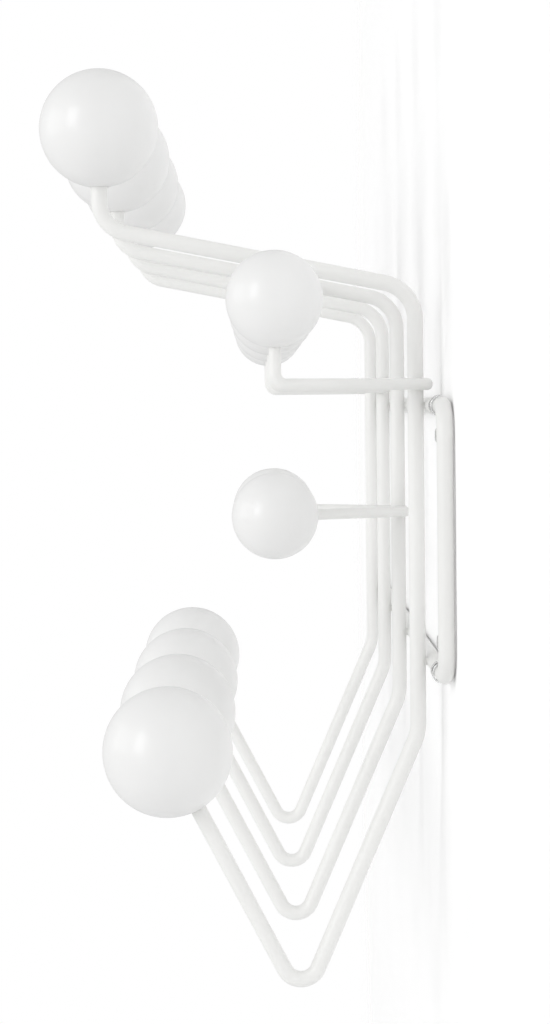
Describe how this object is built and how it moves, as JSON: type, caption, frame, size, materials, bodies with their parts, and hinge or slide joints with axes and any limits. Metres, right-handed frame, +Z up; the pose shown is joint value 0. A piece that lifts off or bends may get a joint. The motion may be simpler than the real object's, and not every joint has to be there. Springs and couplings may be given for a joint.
{
  "type": "wall coat rack",
  "caption": "Wall coat rack of welded white steel wire, with deep V hooks, side hooks and splayed prongs that all end in round lacquered balls.",
  "frame": {"origin": "on the wall plane, midway between the four wall clips", "axes": "+X along the rack's width, -Y out into the room, +Y into the wall, +Z up"},
  "size_m": [0.5344, 0.161, 0.3706],
  "materials": {
    "main_wire": "white powder coat, satin",
    "ring_wire": "white powder coat, satin",
    "thin_wire": "white powder coat, satin",
    "top_balls": "white lacquer, semi-gloss",
    "middle_balls": "white lacquer, semi-gloss",
    "bottom_balls": "white lacquer, semi-gloss",
    "clear_clips": "clear moulded plastic",
    "clip_screws": "zinc-plated steel"
  },
  "bodies": {
    "root": {"bottom_ball_1": "bottom_balls", "bottom_ball_2": "bottom_balls", "bottom_ball_3": "bottom_balls", "bottom_ball_4": "bottom_balls", "clip_screw_1": "clip_screws", "clip_screw_2": "clip_screws", "clip_screw_3": "clip_screws", "clip_screw_4": "clip_screws", "hook_wire_1": "thin_wire", "hook_wire_2": "thin_wire", "hook_wire_3": "thin_wire", "hook_wire_4": "thin_wire", "lower_ball_left": "middle_balls", "lower_ball_right": "middle_balls", "prong_wire_left": "thin_wire", "prong_wire_right": "thin_wire", "top_ball_1": "top_balls", "top_ball_2": "top_balls", "top_ball_3": "top_balls", "top_ball_4": "top_balls", "upper_ball_1": "middle_balls", "upper_ball_2": "middle_balls", "upper_ball_3": "middle_balls", "upper_ball_4": "middle_balls", "upright_wire_1": "main_wire", "upright_wire_2": "main_wire", "upright_wire_3": "main_wire", "upright_wire_4": "main_wire", "wall_clip_1": "clear_clips", "wall_clip_2": "clear_clips", "wall_clip_3": "clear_clips", "wall_clip_4": "clear_clips", "wall_ring": "ring_wire"}
  },
  "joints": []
}
